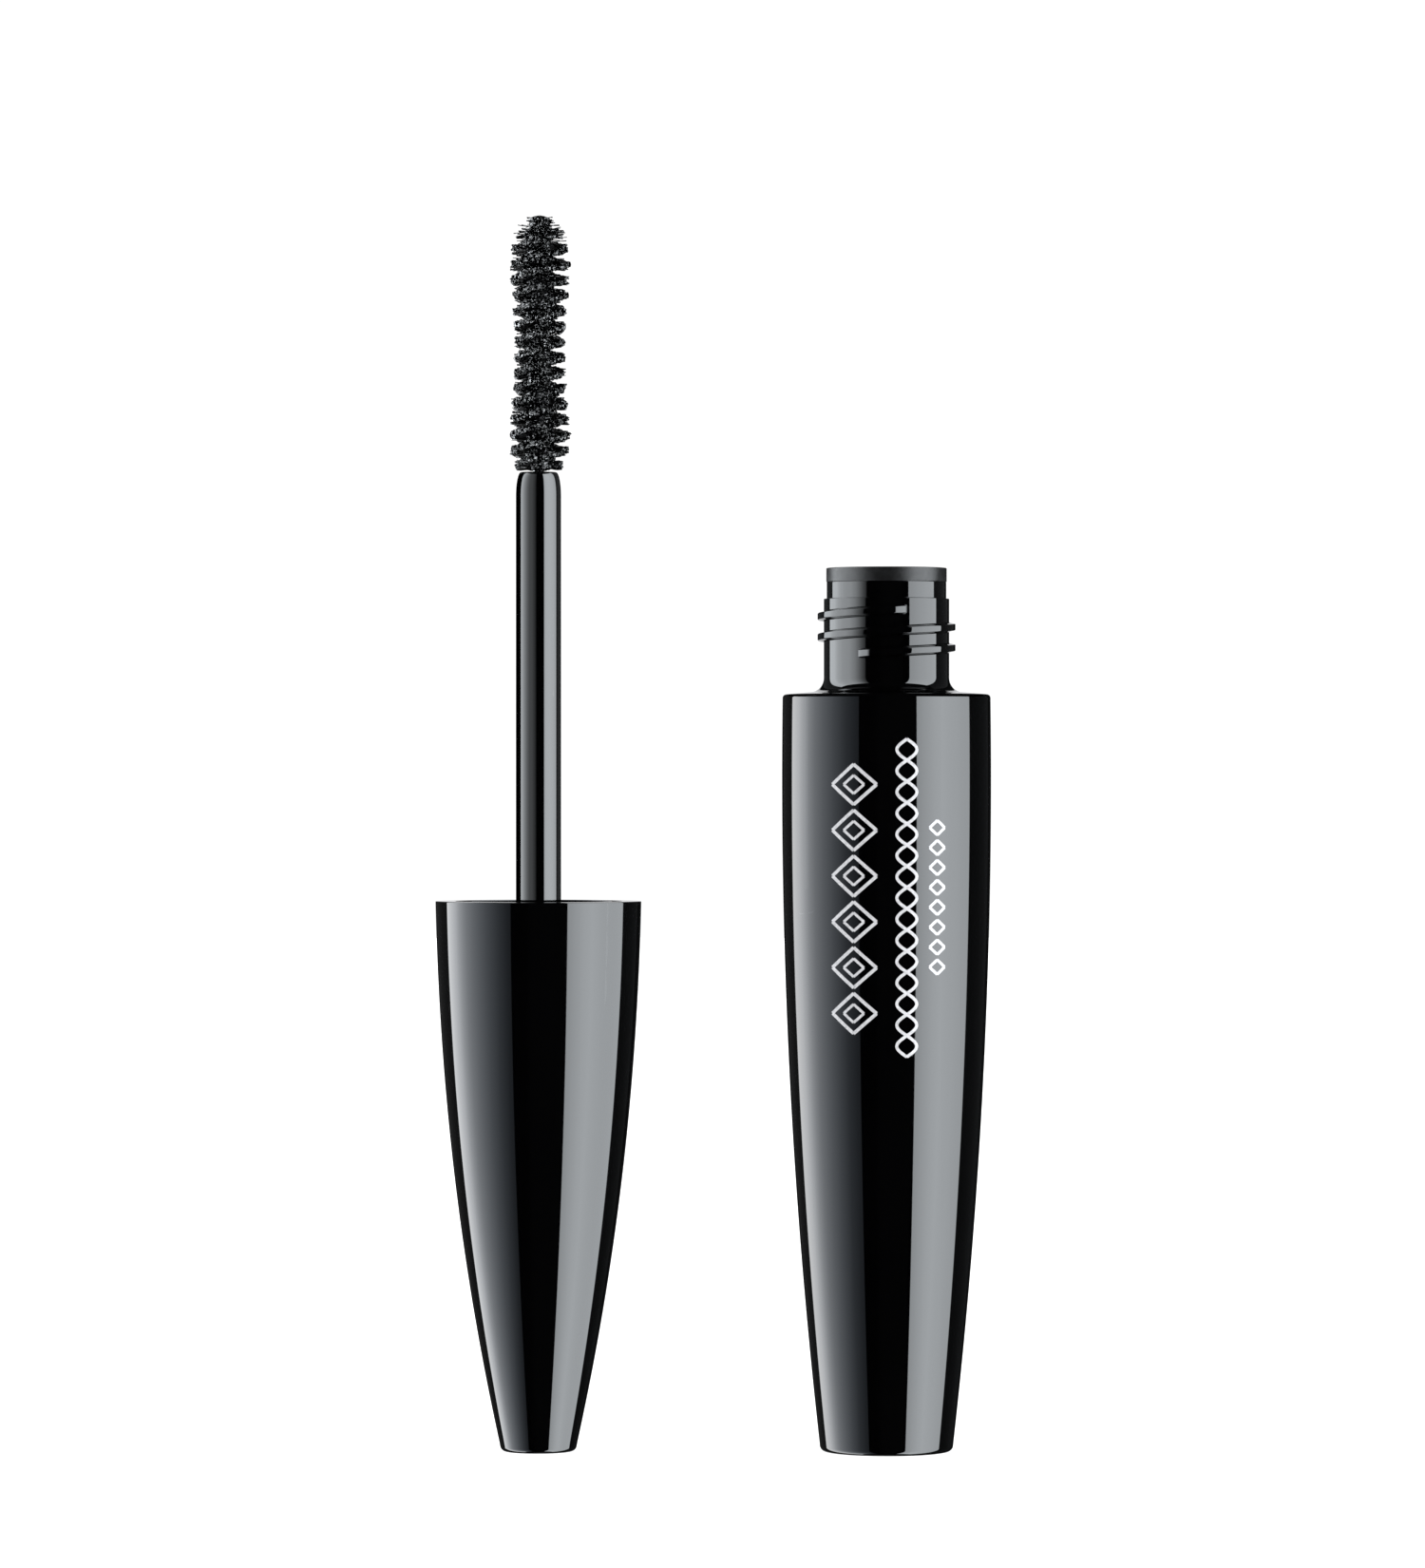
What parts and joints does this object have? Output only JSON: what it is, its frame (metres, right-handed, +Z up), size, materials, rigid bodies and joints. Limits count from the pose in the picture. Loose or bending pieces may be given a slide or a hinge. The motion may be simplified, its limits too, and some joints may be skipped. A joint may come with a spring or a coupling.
{
  "type": "mascara tube with wand",
  "caption": "Opened mascara: threaded bottle standing upright and its cap standing inverted with stem and twisted-wire brush; the wand turns over, inserts and screws on.",
  "frame": {"origin": "centre of the bottle's base, where its axis meets the surface it stands on", "axes": "+Z up along the bottle's axis, +X from the wand to the bottle, +Y away from the viewer"},
  "size_m": [0.0551, 0.0208, 0.1224],
  "materials": {
    "gloss_black": "mirror-gloss black",
    "wiper_black": "satin black",
    "inner_black": "moulded satin black",
    "seal": "matt dark grey",
    "wire": "drawn steel wire",
    "weight": "turned steel",
    "mascara": "wet black paste",
    "label": "satin silver film",
    "bristle": "nylon fibres coated in black paste"
  },
  "bodies": {
    "bottle": {"bottle": "gloss_black", "wiper": "wiper_black", "mascara_fill": "mascara", "base_label": "label"},
    "turnover": {"wire_shank": "wire"},
    "lift": {"seal_ring": "seal"},
    "advance": {"cap_weight": "weight"},
    "wand": {"cap_shell": "gloss_black", "inner_cap": "inner_black", "stem": "gloss_black", "brush_wire": "wire", "bristles": "bristle"}
  },
  "joints": [
    {"name": "wand_flip", "type": "hinge", "parent": "bottle", "child": "turnover", "pos_m": [-0.01725, 0, 0.10593], "axis": [0, 1, 0], "range_deg": [0, 180]},
    {"name": "wand_slide", "type": "slide", "parent": "turnover", "child": "lift", "axis": [0, 0, 1], "range_m": [0, 0.078]},
    {"name": "thread_advance", "type": "slide", "parent": "lift", "child": "advance", "axis": [0, 0, 1], "range_m": [0, 0.0041]},
    {"name": "cap_turn", "type": "hinge", "parent": "advance", "child": "wand", "pos_m": [-0.0345, 0, 0.0545], "axis": [0, 0, 1], "range_deg": [0, 720]}
  ],
  "couplings": [
    {"joint": "thread_advance", "follows": "cap_turn", "m_per_rad": 0.00032626}
  ]
}
